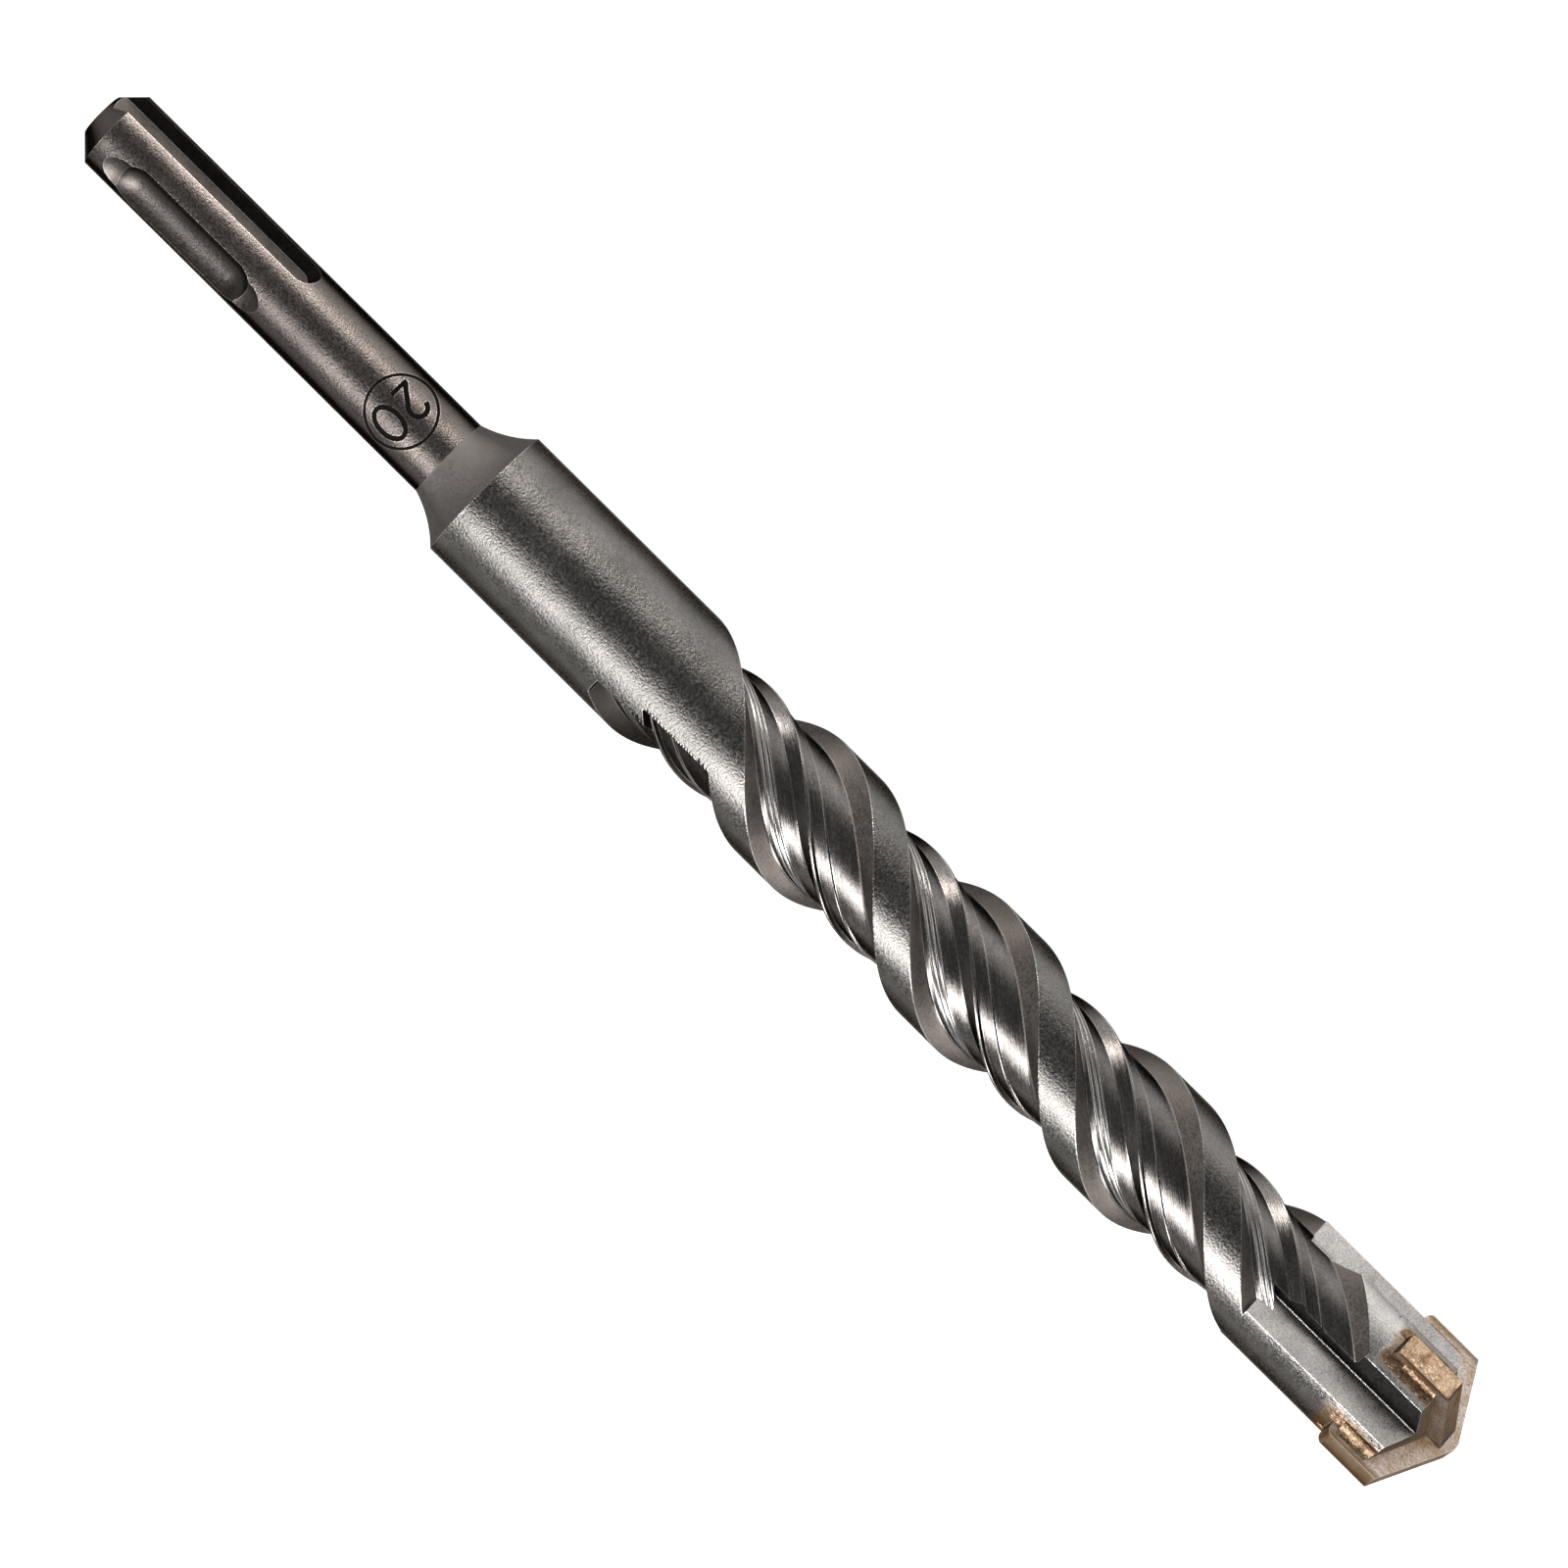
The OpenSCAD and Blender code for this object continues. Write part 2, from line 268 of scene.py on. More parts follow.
point_slope = 1 / math.tan(math.radians(65))
roof_tip = overall_length - 2.3
roof_radius = stem_radius + 1
head = arms(long_arm_start, long_arm_angle)
cut(head, arms(short_arm_start, short_arm_angle), "UNION")
roof = [
    (long_arm_start - 1, roof_radius),
    (roof_tip - point_slope * roof_radius, roof_radius),
    (roof_tip - point_slope * 0.01, 0.01),
]
cut(head, turned(roof), "INTERSECT")
plate_half = 1.4
braze_film = 0.15
slot_half = plate_half + braze_film
slot = [(-reach, -slot_half), (reach, -slot_half), (reach, slot_half), (-reach, slot_half)]
for plate, angle in (("main_cutter", long_arm_angle), ("side_cutter_upper", short_arm_angle)):
    slot_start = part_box(plate)[0].x / mm - braze_film
    cut(head, prism(slot, slot_start, overall_length + 2, angle))
cut(bar, head, "UNION")

# The shank's two open driving slots and two closed ball grooves.
drive_slot_angle = 26.5
slot_length = 29.6
slot_floor = 3.1
slot_floor_half = 1.35
slot_lip_half = 2.37


def drive_slot(angle):
    turn = Matrix.Rotation(math.radians(angle), 3, "X")
    end_x = slot_length - slot_floor_half - 0.85 * (shank_radius - slot_floor) / 2
    rings = []
    for height, half in ((slot_floor, slot_floor_half), (shank_radius + 0.5, slot_lip_half)):
        bow = [
            (end_x + half * math.cos(math.radians(a)), half * math.sin(math.radians(a)))
            for a in steps(90, -90, 24)
        ]
        plan = [(-1, half)] + bow + [(-1, -half)]
        rings.append([turn @ Vector((x, height, z)) for x, z in plan])
    return loft("drive_slot", rings)


def trough(x_start, x_end, radius, height, angle):
    """A round-ended cutter lying along the shank."""
    turn = Matrix.Rotation(math.radians(angle), 3, "X")
    arc = steps(0.02, quarter_circle, 14)
    ends = [(x_start - radius * math.cos(a), radius * math.sin(a)) for a in arc]
    ends += [(x_end + radius * math.cos(a), radius * math.sin(a)) for a in arc[::-1]]
    rings = [
        [
            turn @ Vector((x, height + r * math.cos(a), r * math.sin(a)))
            for a in steps(0, full_circle, 48)[:-1]
        ]
        for x, r in ends
    ]
    return loft("trough", rings)


groove_angle = drive_slot_angle + 90
for side in (0, half_turn):
    cut(bar, drive_slot(drive_slot_angle + side))
    cut(bar, trough(8.79, 22.31, radius=3.3, height=6.5, angle=groove_angle + side))
    cut(bar, trough(6.46, 24.64, radius=4.6, height=8.9, angle=groove_angle + side))

# The diameter in a ring, marked across the shank near the shoulder.
mark_x = 45.9
mark_angle = math.radians(75.5)
mark_out = Vector((0, math.cos(mark_angle), math.sin(mark_angle)))
mark_across = Vector((0, math.sin(mark_angle), -math.cos(mark_angle))) * -1
mark_depth = 0.07
ring_radius = 4.0


def stroke(line, width, closed):
    """Cuts a thin groove along a line of (across, along) points."""
    rings = []
    last = len(line) - 1
    for i, (across, along) in enumerate(line):
        before = line[i - 1] if i or closed else line[0]
        after = line[(i + 1) % len(line)] if i < last or closed else line[last]
        run = Vector((after[0] - before[0], after[1] - before[1])).normalized()
        ring = []
        for offset, radius in ((-1, -mark_depth), (-1, 0.3), (1, 0.3), (1, -mark_depth)):
            v = across + offset * run.y * width / 2
            u = along - offset * run.x * width / 2
            height = math.sqrt(max((shank_radius + radius) ** 2 - v * v, 0.01))
            ring.append(Vector((mark_x + u, 0, 0)) + mark_across * v + mark_out * height)
        rings.append(ring)
    return loft("stroke", rings, joined=closed)


def arc_line(centre, radii, start, end, count):
    return [
        (
            centre[0] + radii[0] * math.cos(math.radians(a)),
            centre[1] + radii[1] * math.sin(math.radians(a)),
        )
        for a in steps(start, end, count)
    ]


two = arc_line((-1.6, 0.95), (1.0, 1.1), 170, -30, 16) + [(-2.5, -1.9)]
foot = [(-2.8, -2.0), (-0.5, -2.0)]
nought = arc_line((1.75, 0), (1.25, 2.05), 0, 360, 40)[:-1]
circle = arc_line((0, 0), (ring_radius, ring_radius), 0, 360, 96)[:-1]
cut(bar, stroke(circle, 0.34, True))
cut(bar, stroke(two, 0.58, False))
cut(bar, stroke(foot, 0.5, False))
cut(bar, stroke(nought, 0.56, True))
bar.data.shade_smooth()
bar.data.set_sharp_from_angle(angle=math.radians(24))

# Round faces that the cutters left in slivers keep the shading of the round bar.
roundness = 0.004
normals = [Vector(n.vector) for n in bar.data.corner_normals]
for face in bar.data.polygons:
    spots = [bar.data.vertices[v].co for v in face.vertices]
    for size in (shank_radius, stem_radius):
        if all(abs(math.hypot(p.y, p.z) / mm - size) < roundness for p in spots):
            for loop, p in zip(face.loop_indices, spots):
                normals[loop] = Vector((0, p.y, p.z)).normalized()
bar.data.normals_split_custom_set(normals)


def place(tree, kind, inputs=None, **settings):
    """Adds a node; inputs maps a socket to a value or to another node's output."""
    node = tree.nodes.new(kind)
    for key, value in settings.items():
        setattr(node, key, value)
    for key, value in (inputs or {}).items():
        if isinstance(value, bpy.types.NodeSocket):
            tree.links.new(value, node.inputs[key])
        else:
            node.inputs[key].default_value = value
    return node


def maths(tree, operation, *values):
    return place(tree, "ShaderNodeMath", dict(enumerate(values)), operation=operation).outputs[0]


def spread(tree, value, low, high, to_low=0.0, to_high=1.0):
    """Maps a value's range onto another and holds it there."""
    inputs = {"Value": value, 1: low, 2: high, 3: to_low, 4: to_high}
    return place(tree, "ShaderNodeMapRange", inputs).outputs[0]


def mixed(tree, factor, colour_a, colour_b, blend="MIX"):
    node = place(tree, "ShaderNodeMix", data_type="RGBA", blend_type=blend)
    sockets = (node.inputs[0], node.inputs[6], node.inputs[7])
    for socket, value in zip(sockets, (factor, colour_a, colour_b)):
        if isinstance(value, bpy.types.NodeSocket):
            tree.links.new(value, socket)
        else:
            socket.default_value = value
    return node.outputs[2]


def effect(name, inputs, outputs):
    """A shader node group with named values in and out."""
    tree = bpy.data.node_groups.new(name, "ShaderNodeTree")
    for label, value in inputs.items():
        socket = tree.interface.new_socket(label, in_out="INPUT", socket_type="NodeSocketFloat")
        socket.default_value = value
    for label in outputs:
        tree.interface.new_socket(label, in_out="OUTPUT", socket_type="NodeSocketFloat")
    return tree, tree.nodes.new("NodeGroupInput"), tree.nodes.new("NodeGroupOutput")


def use(tree, group, inputs=None):
    node = tree.nodes.new("ShaderNodeGroup")
    node.node_tree = group
    for key, value in (inputs or {}).items():
        if isinstance(value, bpy.types.NodeSocket):
            tree.links.new(value, node.inputs[key])
        else:
            node.inputs[key].default_value = value
    return node


# Fine grain of a blasted or rolled skin, with larger stains under it.
grain, grain_in, grain_out = effect(
    "surface_grain", {"Grain size": 0.2, "Stain size": 6.0}, ("Grain", "Stain")
)
position = place(grain, "ShaderNodeTexCoord").outputs["Object"]
for label, size in (("Grain", "Grain size"), ("Stain", "Stain size")):
    scale = maths(grain, "DIVIDE", 1 / mm, grain_in.outputs[size])
    cloud = place(
        grain,
        "ShaderNodeTexNoise",
        {"Vector": position, "Scale": scale, "Detail": 3.0, "Roughness": 0.6},
    )
    grain.links.new(cloud.outputs[0], grain_out.inputs[label])

# Scratches that follow the helix in the flutes, with the distance from the axis.
helix, helix_in, helix_out = effect("helix_marks", {"Fineness": 3.0}, ("Streaks", "Radius"))
position = place(helix, "ShaderNodeTexCoord").outputs["Object"]
axes = place(helix, "ShaderNodeSeparateXYZ", {0: position})
along_mm = maths(helix, "DIVIDE", axes.outputs[0], mm)
angle_here = maths(helix, "DEGREES", maths(helix, "ARCTAN2", axes.outputs[2], axes.outputs[1]))
turn_rate = 360 / helix_lead
crest = maths(helix, "MULTIPLY_ADD", along_mm, turn_rate, rib_angle - turn_rate * rib_station)
behind = maths(helix, "FLOORED_MODULO", maths(helix, "SUBTRACT", crest, angle_here), half_turn)
squares = maths(
    helix,
    "ADD",
    maths(helix, "POWER", axes.outputs[1], 2.0),
    maths(helix, "POWER", axes.outputs[2], 2.0),
)
radius_mm = maths(helix, "DIVIDE", maths(helix, "SQRT", squares), mm)
lengthwise = place(
    helix,
    "ShaderNodeCombineXYZ",
    {
        0: maths(helix, "MULTIPLY", behind, maths(helix, "MULTIPLY", helix_in.outputs[0], 0.12)),
        1: maths(helix, "MULTIPLY", along_mm, 0.06),
        2: radius_mm,
    },
)
lines = place(
    helix, "ShaderNodeTexNoise", {"Vector": lengthwise.outputs[0], "Scale": 4.0, "Detail": 4.0}
)
helix.links.new(lines.outputs[0], helix_out.inputs["Streaks"])
helix.links.new(radius_mm, helix_out.inputs["Radius"])

# Golden tint and spilt filler around the plates, widest beside them and ragged at its edge.
tint, tint_in, tint_out = effect("heat_tint", {"Reach": 3.3}, ("Tint", "Lumps", "Up the arm"))
place_here = place(tint, "ShaderNodeTexCoord").outputs["Object"]
axes = place(tint, "ShaderNodeSeparateXYZ", {0: place_here})
ragged = place(
    tint, "ShaderNodeTexNoise", {"Vector": place_here, "Scale": 1 / (1.3 * mm), "Detail": 2.0}
)
lumps = place(
    tint, "ShaderNodeTexNoise", {"Vector": place_here, "Scale": 1 / (0.55 * mm), "Detail": 3.0}
)
uneven = maths(tint, "MULTIPLY_ADD", ragged.outputs[0], 1.6, -0.8)
sum_yz = maths(tint, "ABSOLUTE", maths(tint, "ADD", axes.outputs[1], axes.outputs[2]))
gap_yz = maths(tint, "ABSOLUTE", maths(tint, "SUBTRACT", axes.outputs[1], axes.outputs[2]))
beside = maths(tint, "DIVIDE", maths(tint, "MINIMUM", sum_yz, gap_yz), mm * math.sqrt(2))
# The distance out along the nearer arm, which the skins use for painted shade in the corners
# between the arms.
up_the_arm = maths(tint, "DIVIDE", maths(tint, "MAXIMUM", sum_yz, gap_yz), mm * math.sqrt(2))
tint.links.new(up_the_arm, tint_out.inputs["Up the arm"])
beside = maths(tint, "ADD", beside, uneven)
plate_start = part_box("side_cutter_upper")[0].x / mm
behind_plate = maths(tint, "MULTIPLY_ADD", axes.outputs[0], 1 / mm, -plate_start)
behind_plate = maths(tint, "ADD", behind_plate, uneven)
inner = maths(tint, "SUBTRACT", tint_in.outputs[0], 1.1)
near_side = spread(tint, beside, tint_in.outputs[0], inner)
near = maths(tint, "MULTIPLY", near_side, spread(tint, behind_plate, -1.5, -0.7))
tint.links.new(near, tint_out.inputs["Tint"])
tint.links.new(maths(tint, "MULTIPLY", near, lumps.outputs[0]), tint_out.inputs["Lumps"])

# Edges made lighter in colour: partly abrasion, partly a painted highlight along them.
wear_and_highlight, wear_and_highlight_in, wear_and_highlight_out = effect("edge_wear_and_highlight", {"Width": 0.0002}, ("Mask",))
rounded = place(wear_and_highlight, "ShaderNodeBevel", {"Radius": wear_and_highlight_in.outputs[0]}, samples=6)
plain_normal = place(wear_and_highlight, "ShaderNodeNewGeometry").outputs["Normal"]
facing = place(
    wear_and_highlight, "ShaderNodeVectorMath", {0: rounded.outputs[0], 1: plain_normal}, operation="DOT_PRODUCT"
)
wear_and_highlight.links.new(spread(wear_and_highlight, facing.outputs["Value"], 0.995, 0.93), wear_and_highlight_out.inputs[0])


def finish(name, colour, roughness, metallic=1.0, rim=(1, 1, 1, 1)):
    """A new material; gives its node tree and its shader. The rim tints its grazing reflections."""
    material = bpy.data.materials.new(name)
    material.use_nodes = True
    tree = material.node_tree
    shader = tree.nodes["Principled BSDF"]
    shader.inputs["Base Color"].default_value = colour
    shader.inputs["Roughness"].default_value = roughness
    shader.inputs["Metallic"].default_value = metallic
    shader.inputs["Specular Tint"].default_value = rim
    return material, tree, shader


def shade_of(tree, value, low, high, to_low, to_high):
    """A grey that follows the value, to multiply a colour with."""
    level = spread(tree, value, low, high, to_low, to_high)
    return place(tree, "ShaderNodeCombineColor", {0: level, 1: level, 2: level}).outputs[0]


# Width of the painted shade along the corners between the head's arms.
valley_width = 1.5


def skin(
    name, dark, bright, roughness, grain_size, bump, worn_and_highlight, streaks=0.0, grazing=0.2, valley=1.0
):
    """Steel whose grain, stains, heat tint and edges vary its colour and gloss, with edges lighter
    from abrasion and a painted highlight, and painted shade where it turns away from the view and
    in the corners between the arms.
    """
    material, tree, shader = finish(name, dark, roughness, rim=(0.25, 0.24, 0.23, 1))
    speckle = use(tree, grain, {"Grain size": grain_size})
    tone = spread(tree, speckle.outputs["Stain"], 0.35, 0.65)
    base = mixed(tree, tone, dark, bright)
    grained = shade_of(tree, speckle.outputs["Grain"], 0.3, 0.7, 0.72, 1.28)
    base = mixed(tree, 1.0, base, grained, "MULTIPLY")
    heated = use(tree, tint)
    tinted = maths(tree, "MULTIPLY", heated.outputs["Tint"], 0.7)
    base = mixed(tree, tinted, base, (0.31, 0.2, 0.11, 1))
    # Lighter edge colour: partly abrasion, partly a painted highlight.
    edges = use(tree, wear_and_highlight)
    base = mixed(tree, maths(tree, "MULTIPLY", edges.outputs[0], 0.8), base, worn_and_highlight)
    # Painted shade: the colour darkens where the surface turns away from the view, down to the
    # grazing factor.
    turned_away = place(tree, "ShaderNodeLayerWeight", {"Blend": 0.5}).outputs["Facing"]
    base = mixed(tree, 1.0, base, shade_of(tree, turned_away, 0.2, 0.52, 1.0, grazing), "MULTIPLY")
    # Painted shade: the colour darkens near the corners between the arms, down to the valley
    # factor.
    up = heated.outputs["Up the arm"]
    painted_valley_shade = shade_of(tree, up, arm_half, arm_half + valley_width, valley, 1.0)
    base = mixed(tree, 1.0, base, painted_valley_shade, "MULTIPLY")
    marks = use(tree, helix)
    height = maths(tree, "MULTIPLY", speckle.outputs["Grain"], 1 - streaks)
    height = maths(tree, "MULTIPLY_ADD", marks.outputs["Streaks"], streaks, height)
    height = maths(tree, "MULTIPLY_ADD", heated.outputs["Lumps"], 2.5, height)
    gloss = spread(tree, height, 0.35, 0.65, roughness - 0.1, roughness + 0.1)
    relief = place(
        tree, "ShaderNodeBump", {"Strength": bump, "Distance": 0.00006, "Height": height}
    )
    tree.links.new(base, shader.inputs["Base Color"])
    tree.links.new(gloss, shader.inputs["Roughness"])
    tree.links.new(relief.outputs[0], shader.inputs["Normal"])
    return material


blasted_steel = skin(
    "blasted_steel",
    (0.143, 0.127, 0.119, 1),
    (0.18, 0.159, 0.146, 1),
    roughness=0.31,
    grain_size=0.22,
    bump=0.7,
    worn_and_highlight=(0.5, 0.46, 0.42, 1),
    grazing=0.12,
)
turned_steel = skin(
    "turned_steel",
    (0.24, 0.223, 0.21, 1),
    (0.29, 0.27, 0.254, 1),
    roughness=0.75,
    grain_size=0.25,
    bump=0.3,
    worn_and_highlight=(0.5, 0.48, 0.45, 1),
    grazing=0.45,
)
rolled_steel = skin(
    "rolled_steel",
    (0.15, 0.146, 0.137, 1),
    (0.21, 0.2, 0.19, 1),
    roughness=0.27,
    grain_size=0.26,
    bump=1.0,
    worn_and_highlight=(0.8, 0.78, 0.75, 1),
    grazing=0.42,
)
milled_steel = skin(
    "milled_steel",
    (0.13, 0.122, 0.115, 1),
    (0.2, 0.187, 0.177, 1),
    roughness=0.25,
    grain_size=0.3,
    bump=0.4,
    worn_and_highlight=(0.85, 0.83, 0.8, 1),
    streaks=0.8,
    grazing=0.28,
)
# The head's ground flats; their colour darkens to painted shade near the corners between the arms.
ground_steel = skin(
    "ground_steel",
    (0.54, 0.52, 0.5, 1),
    (0.72, 0.7, 0.675, 1),
    roughness=0.32,
    grain_size=0.22,
    bump=0.8,
    worn_and_highlight=(0.9, 0.88, 0.85, 1),
    streaks=0.3,
    grazing=0.12,
    valley=0.12,
)
# A near-black steel that paints shade on the drive slots' walls and where the flutes start.
painted_shade_steel = skin(
    "painted_shade_steel",
    (0.038, 0.035, 0.032, 1),
    (0.055, 0.05, 0.046, 1),
    roughness=0.55,
    grain_size=0.3,
    bump=0.5,
    worn_and_highlight=(0.3, 0.28, 0.26, 1),
    grazing=0.5,
)
forged_steel = skin(
    "forged_steel",
    (0.15, 0.134, 0.122, 1),
    (0.22, 0.196, 0.178, 1),
    roughness=0.6,
    grain_size=0.3,
    bump=0.9,
    worn_and_highlight=(0.8, 0.78, 0.75, 1),
    grazing=0.5,
)
# A darker steel for the ball grooves: painted shade in the recesses.
groove_shade_steel = skin(
    "groove_shade_steel",
    (0.1, 0.09, 0.083, 1),
    (0.13, 0.117, 0.108, 1),
    roughness=0.4,
    grain_size=0.24,
    bump=0.6,
    worn_and_highlight=(0.5, 0.46, 0.42, 1),
    grazing=0.3,
)
mark_black = finish("mark_black", (0.008, 0.007, 0.006, 1), 0.8, 0.0, rim=(0, 0, 0, 1))[0]


BLASTED, TURNED, ROLLED, MILLED, GROUND, MARKED, PAINTED_SHADE, FORGED, GROOVE_SHADE = range(9)


def flute_finish(x, y, z):
    """The material's number in a flute: its start gets a near-black steel as painted shade, and its
    walls stay darker than its floor.
    """
    behind = (helix_angle(x) - math.degrees(math.atan2(z, y))) % half_turn
    if x < (plain_run_out[2] - 1.5 if behind > land_end else ledged_run_out[2] - 2):
        return PAINTED_SHADE
    in_ledged_wall = ledged_wall[0][0] < behind < ledged_wall[-1][0]
    in_plain_wall = land_end < behind < plain_wall[-2][0]
    return FORGED if in_ledged_wall or in_plain_wall else MILLED


def is_ground(y, z, normal):
    """Whether the face lies on a ground side of an arm."""
    for angle in (long_arm_angle, short_arm_angle):
        across = Vector((-math.sin(math.radians(angle)), math.cos(math.radians(angle))))
        if abs(abs(across @ Vector((y, z))) - arm_half) < 0.03:
            if abs(across @ Vector((normal.y, normal.z))) > 0.98:
                return True
    return False


bar.data.materials.clear()
for material in (
    blasted_steel,
    turned_steel,
    rolled_steel,
    milled_steel,
    ground_steel,
    mark_black,
    painted_shade_steel,
    forged_steel,
    groove_shade_steel,
):
    bar.data.materials.append(material)
slot_turn = math.radians(drive_slot_angle)
slot_out = Vector((0, math.cos(slot_turn), math.sin(slot_turn)))
for face in bar.data.polygons:
    x, y, z = face.center / mm
    radius = math.hypot(y, z)
    if x < shank_length and radius > shank_radius - 0.03 or x < end_chamfer:
        number = BLASTED
    elif x < slot_length + 1:
        # In the drive slots the walls get near-black painted shade and the floor the forged skin;
        # the ball grooves get a darker steel as painted shade.
        in_slot = abs(slot_out @ Vector((0, y, z))) > 0.75 * radius
        floor_of_slot = abs(slot_out @ face.normal) > 0.97
        number = (FORGED if floor_of_slot else PAINTED_SHADE) if in_slot else GROOVE_SHADE
    elif x < shank_length:
        number = MARKED
    elif x < shoulder_end:
        number = TURNED
    elif radius > stem_radius - 0.04:
        on_short_arm = x > long_arm_start + 3 and y * z > 12
        number = GROUND if on_short_arm else ROLLED
    elif x > long_arm_start - 1 and is_ground(y, z, face.normal):
        number = GROUND
    else:
        number = flute_finish(x, y, z) if x < short_arm_start + 1 else FORGED
    face.material_index = number
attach(bar, "root")
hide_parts("drill_body")

# Fine burrs run along two of the corners between the arms.
burr_radius = 0.11
burr_height = corner * math.sqrt(2) + 0.16
for number, side in enumerate((1, -1)):
    burr_end = roof_tip - point_slope * burr_height - 0.1
    rings = []
    for x in steps(long_arm_start - 0.3, burr_end, 60):
        sway = 0.03 * noise.noise(Vector((x * 1.7, side, 0)))
        ring = []
        for a in steps(0, full_circle, 12)[:-1]:
            y = burr_radius * math.cos(a) + sway
            z = side * burr_height + burr_radius * math.sin(a) + sway
            ring.append(Vector((x, y, z)))
        rings.append(ring)
    burr = loft(f"valley_burr_{number}", rings)
    burr.data.shade_smooth()
    burr.data.materials.append(rolled_steel)
    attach(burr, "root")

# Carbide plates
# Three plates of sintered carbide, one across the head and two half plates set back beside it,
# pressed and ground to the point. The brazing has left a thin golden skin on them.
carbide, tree, shader = finish(
    "carbide", (0.55, 0.43, 0.34, 1), 0.38, 0.95, rim=(0.3, 0.24, 0.2, 1)
)
speckle = use(tree, grain, {"Grain size": 0.28, "Stain size": 1.6})
pale = spread(tree, speckle.outputs["Stain"], 0.4, 0.6)
golden = mixed(tree, pale, (0.6, 0.455, 0.31, 1), (0.78, 0.665, 0.59, 1))
grained = shade_of(tree, speckle.outputs["Grain"], 0.3, 0.7, 0.62, 1.25)
golden = mixed(tree, 1.0, golden, grained, "MULTIPLY")
marks = use(tree, helix)
covered = spread(tree, marks.outputs["Radius"], 9.2, 9.7)
covered = maths(tree, "MULTIPLY", covered, 0.8)
golden = mixed(tree, covered, golden, (0.27, 0.175, 0.095, 1))
# Edges lighter in colour: partly abrasion, partly a painted highlight.
edges = use(tree, wear_and_highlight, {"Width": 0.00025})
rubbed_and_highlight = maths(tree, "MULTIPLY", edges.outputs[0], 0.7)
golden = mixed(tree, rubbed_and_highlight, golden, (0.85, 0.72, 0.56, 1))
# Painted shade: the carbide's colour darkens where it turns away from the view.
turned_away = place(tree, "ShaderNodeLayerWeight", {"Blend": 0.5}).outputs["Facing"]
golden = mixed(tree, 1.0, golden, shade_of(tree, turned_away, 0.25, 0.6, 1.0, 0.25), "MULTIPLY")
relief = place(
    tree,
    "ShaderNodeBump",
    {"Strength": 0.8, "Distance": 0.00008, "Height": speckle.outputs["Grain"]},
)
tree.links.new(golden, shader.inputs["Base Color"])
tree.links.new(relief.outputs[0], shader.inputs["Normal"])
for name in ("main_cutter", "side_cutter_upper", "side_cutter_lower"):
    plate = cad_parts[name]
    plate.data.materials.clear()
    plate.data.materials.append(carbide)

# Braze
# Copper-coloured filler that ran round the plates and set as a film, beads, low aprons and a crust.


def filler_skin(name, dark, bright, grain_size, bump_height):
    """Set filler, lumpy and stained."""
    material, tree, shader = finish(name, bright, 0.42, rim=(0.3, 0.2, 0.1, 1))
    speckle = use(tree, grain, {"Grain size": grain_size, "Stain size": 1.8})
    copper = mixed(tree, spread(tree, speckle.outputs["Stain"], 0.35, 0.65), dark, bright)
    lumpy = shade_of(tree, speckle.outputs["Grain"], 0.3, 0.6, 0.5, 1.15)
    copper = mixed(tree, 1.0, copper, lumpy, "MULTIPLY")
    relief = place(
        tree,
        "ShaderNodeBump",
        {"Strength": 1.0, "Distance": bump_height, "Height": speckle.outputs["Grain"]},
    )
    tree.links.new(copper, shader.inputs["Base Color"])
    tree.links.new(relief.outputs[0], shader.inputs["Normal"])
    return material


braze = filler_skin("braze", (0.17, 0.105, 0.062, 1), (0.34, 0.24, 0.16, 1), 0.5, 0.0002)
crust = filler_skin("braze_crust", (0.4, 0.245, 0.13, 1), (0.8, 0.6, 0.42, 1), 0.5, 0.0006)
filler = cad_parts["braze_filler"]
filler.data.materials.clear()
filler.data.materials.append(braze)

# The upper half plate's rim is crusted with it.
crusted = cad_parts["side_cutter_upper"]
crusted.data.materials.append(crust)
rim_out = Vector(around(0, 1, short_arm_angle))
for face in crusted.data.polygons:
    if rim_out @ face.normal > 0.6 and rim_out @ face.center / mm > 9.2:
        face.material_index = 1

spill_width = 1.6
spill_height = 0.2
spill_start = 1.0
spill_foot = -0.4


def spill(name, plate, angle, side):
    """The low, lumpy apron of filler on the steel beside a plate."""
    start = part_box(plate)[0].x / mm - spill_start
    end = roof_tip - point_slope * stem_radius - 0.1
    outward = Vector(around(0, 1, angle))
    across = Vector((0, -outward.z, outward.y)) * side
    rings = []
    for i, x in enumerate(steps(start, end, 44)):
        fade = min(1, i / 6) ** 0.5
        ring = []
        for share in steps(0, 1, 12):
            w = plate_half - 0.05 + share * spill_width * (0.55 + 0.45 * fade)
            large = noise.noise(Vector((x, w, angle)) * 1.4) * 0.4
            small = noise.noise(Vector((x, w, side)) * 3.1) * 0.22
            rise = spill_height * fade * (1 - share) ** 0.8 * (1 + (large + small)) - 0.06 * share
            ring.append((w, max(rise, -0.1)))
        ring = [(ring[0][0], spill_foot), *ring, (ring[-1][0], spill_foot)]
        points = []
        for w, rise in ring:
            height = math.sqrt(stem_radius**2 - w * w) + rise
            points.append(Vector((x, 0, 0)) + across * w + outward * height)
        rings.append(points if side < 0 else points[::-1])
    apron = loft(name, rings)
    apron.data.shade_smooth()
    apron.data.materials.append(braze)
    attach(apron, "root")


for number, side in enumerate((1, -1)):
    spill(f"braze_spill_long_near_{number}", "main_cutter", long_arm_angle, side)
    spill(f"braze_spill_long_far_{number}", "main_cutter", long_arm_angle + half_turn, side)
    spill(f"braze_spill_short_near_{number}", "side_cutter_upper", short_arm_angle, side)
    spill(f"braze_spill_short_far_{number}", "side_cutter_lower", short_arm_angle + half_turn, side)

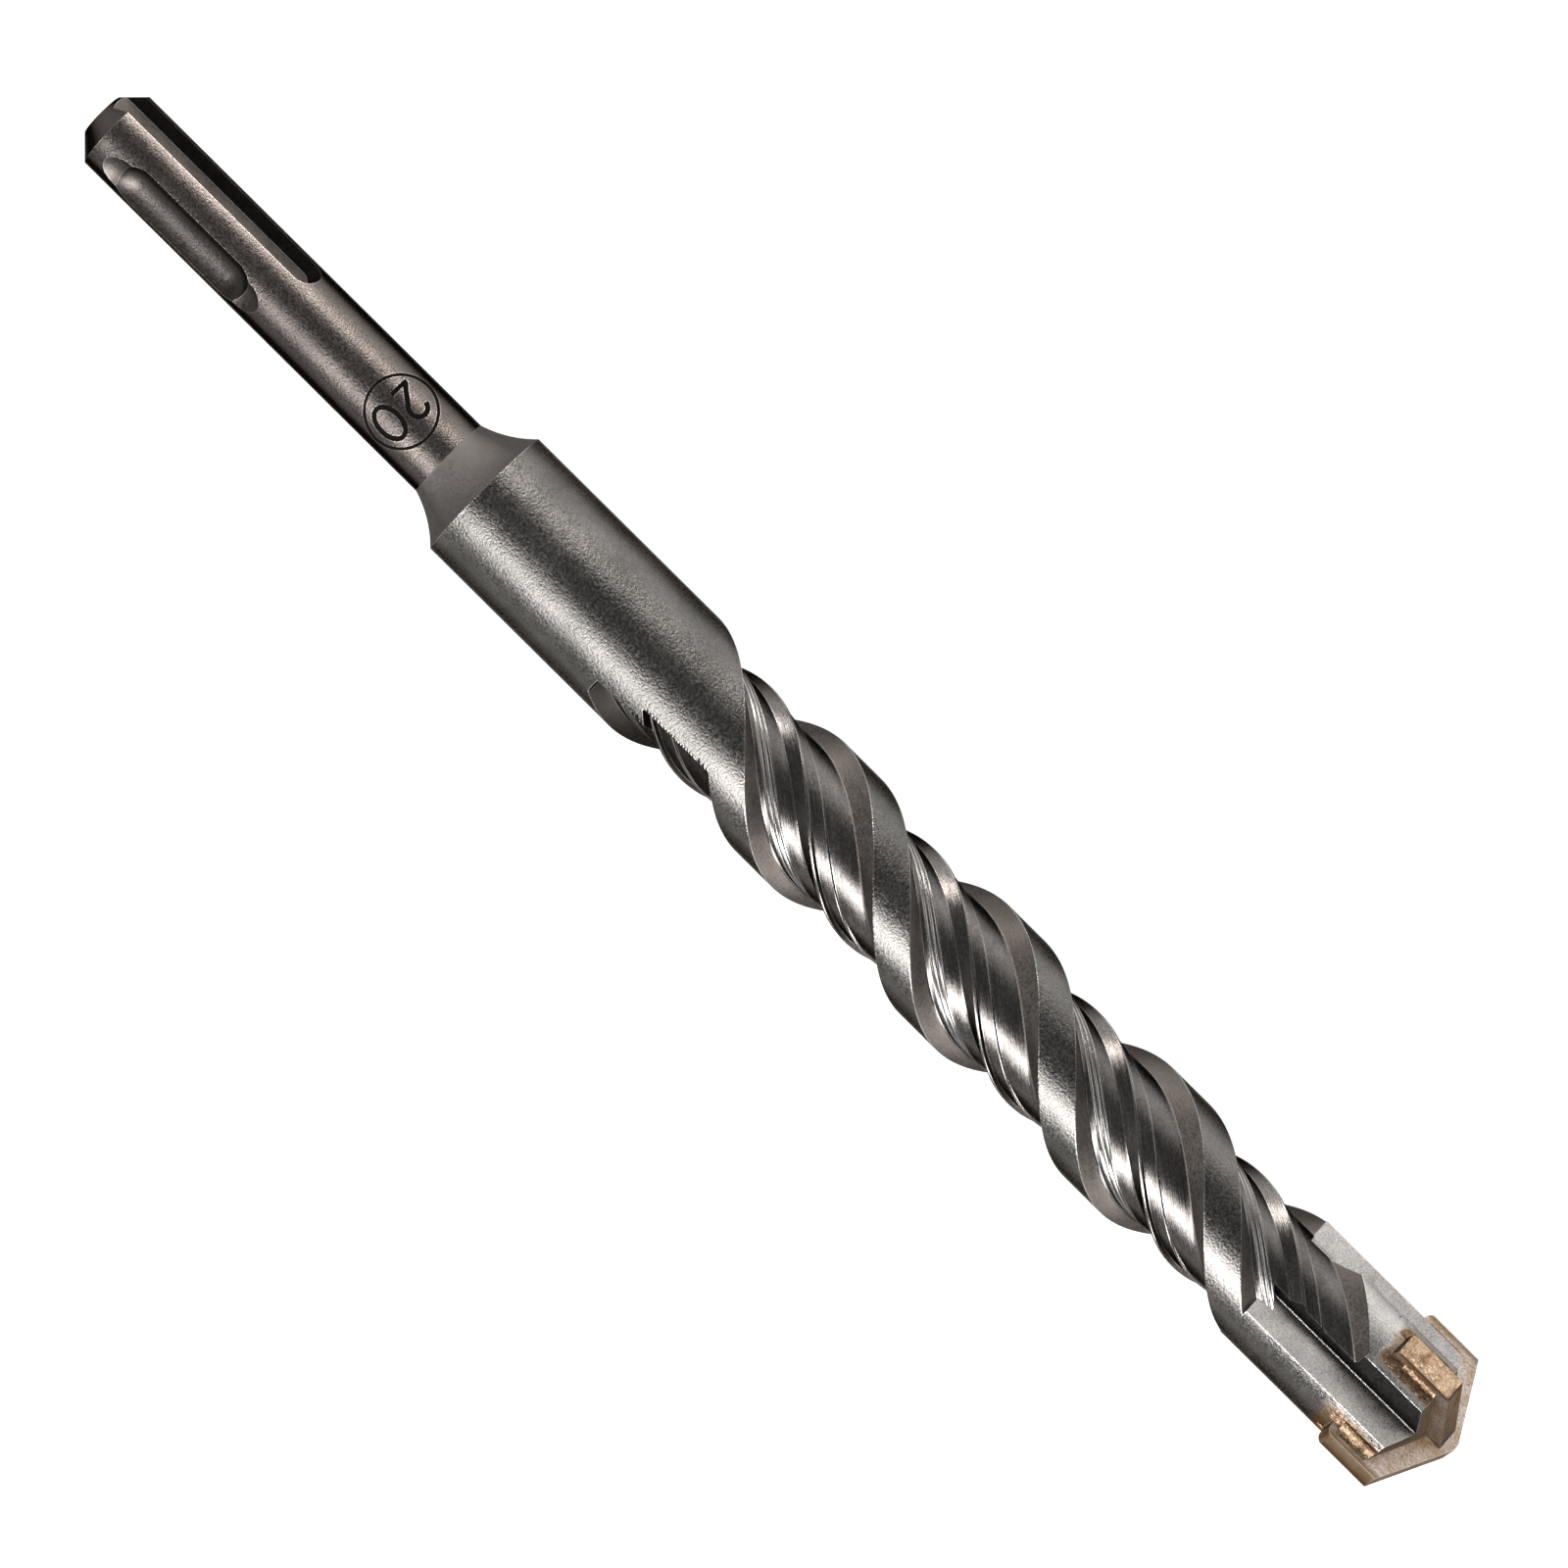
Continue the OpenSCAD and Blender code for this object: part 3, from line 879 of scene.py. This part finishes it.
# Studio
# A white floor under a large soft lamp on one side, a weaker one on the other and a grey sky.
view_tilt = math.radians(14.5)
towards_camera = Vector((0, math.sin(view_tilt), math.cos(view_tilt)))
upper_right = Vector((0, math.cos(view_tilt), -math.sin(view_tilt)))
bar_axis = Vector((1, 0, 0))

floor_mesh = bpy.data.meshes.new("floor")
floor_half = 3.0
floor_z = cad_low.z
corners = [(-1, -1), (1, -1), (1, 1), (-1, 1)]
spots = [(x * floor_half, y * floor_half, floor_z) for x, y in corners]
floor_mesh.from_pydata(spots, [], [(0, 1, 2, 3)])
floor = bpy.data.objects.new("floor", floor_mesh)
bpy.context.scene.collection.objects.link(floor)
paper, tree, shader = finish("paper", (0.4, 0.4, 0.4, 1), 0.9, 0.0)
ray = place(tree, "ShaderNodeLightPath")
seen = maths(tree, "MAXIMUM", ray.outputs["Is Camera Ray"], ray.outputs["Is Glossy Ray"])
seen = maths(tree, "MAXIMUM", seen, ray.outputs["Is Transmission Ray"])
tree.links.new(maths(tree, "MULTIPLY", seen, 0.9), shader.inputs["Emission Strength"])
shader.inputs["Emission Color"].default_value = (1, 1, 1, 1)
floor_mesh.materials.append(paper)

world = bpy.data.worlds.new("studio")
bpy.context.scene.world = world
world.use_nodes = True
sky = world.node_tree
look = place(sky, "ShaderNodeTexCoord").outputs["Generated"]
direction = place(sky, "ShaderNodeSeparateXYZ", {0: look})
sky_level = spread(sky, direction.outputs[2], 0.2, 0.55, 0.5, 0.13)
sky.links.new(sky_level, sky.nodes["Background"].inputs["Color"])

bar_middle = Vector((103.43, 0, 0)) * mm


def lamp(name, angle, distance, width, length, radiance, colour, shift=0.0):
    """A soft lamp beside the bar, at an angle from the camera's direction towards its left."""
    data = bpy.data.lights.new(name, "AREA")
    data.shape = "RECTANGLE"
    data.size = length
    data.size_y = width
    data.energy = math.pi * length * width * radiance
    data.color = colour
    item = bpy.data.objects.new(name, data)
    bpy.context.scene.collection.objects.link(item)
    turn = math.radians(angle)
    out = towards_camera * math.cos(turn) - upper_right * math.sin(turn)
    side = out.cross(bar_axis)
    item.matrix_world = Matrix(
        (
            (bar_axis.x, side.x, out.x, 0),
            (bar_axis.y, side.y, out.y, 0),
            (bar_axis.z, side.z, out.z, 0),
            (0, 0, 0, 1),
        )
    )
    item.location = bar_middle + bar_axis * shift + out * distance


lamp(
    "main_lamp",
    angle=50,
    distance=0.6,
    width=0.25,
    length=1.2,
    radiance=12.5,
    colour=(1, 0.985, 0.985),
    shift=0.545,
)
lamp(
    "side_lamp",
    angle=-68,
    distance=0.6,
    width=0.34,
    length=1.2,
    radiance=0.38,
    colour=(1, 0.95, 0.92),
    shift=0.1,
)
lamp(
    "shank_lamp",
    angle=-50,
    distance=0.32,
    width=0.08,
    length=0.2,
    radiance=15.0,
    colour=(1, 0.95, 0.92),
    shift=-0.204,
)

# Camera
# It looks square onto the bar from above, with the bar running down to the right.
camera_distance = 0.88
picture_width = 169.8 * mm
bar_slope = math.radians(44.75)
camera_data = bpy.data.cameras.new("camera")
camera_data.sensor_width = 36
camera_data.lens = camera_data.sensor_width * camera_distance / picture_width
camera = bpy.data.objects.new("camera", camera_data)
bpy.context.scene.collection.objects.link(camera)
right = bar_axis * math.cos(bar_slope) + upper_right * math.sin(bar_slope)
up = upper_right * math.cos(bar_slope) - bar_axis * math.sin(bar_slope)
camera.matrix_world = Matrix(
    (
        (right.x, up.x, towards_camera.x, 0),
        (right.y, up.y, towards_camera.y, 0),
        (right.z, up.z, towards_camera.z, 0),
        (0, 0, 0, 1),
    )
)
camera.location = bar_middle + upper_right * 0.53 * mm + towards_camera * camera_distance
bpy.context.scene.camera = camera
bpy.context.scene.view_settings.view_transform = "Standard"
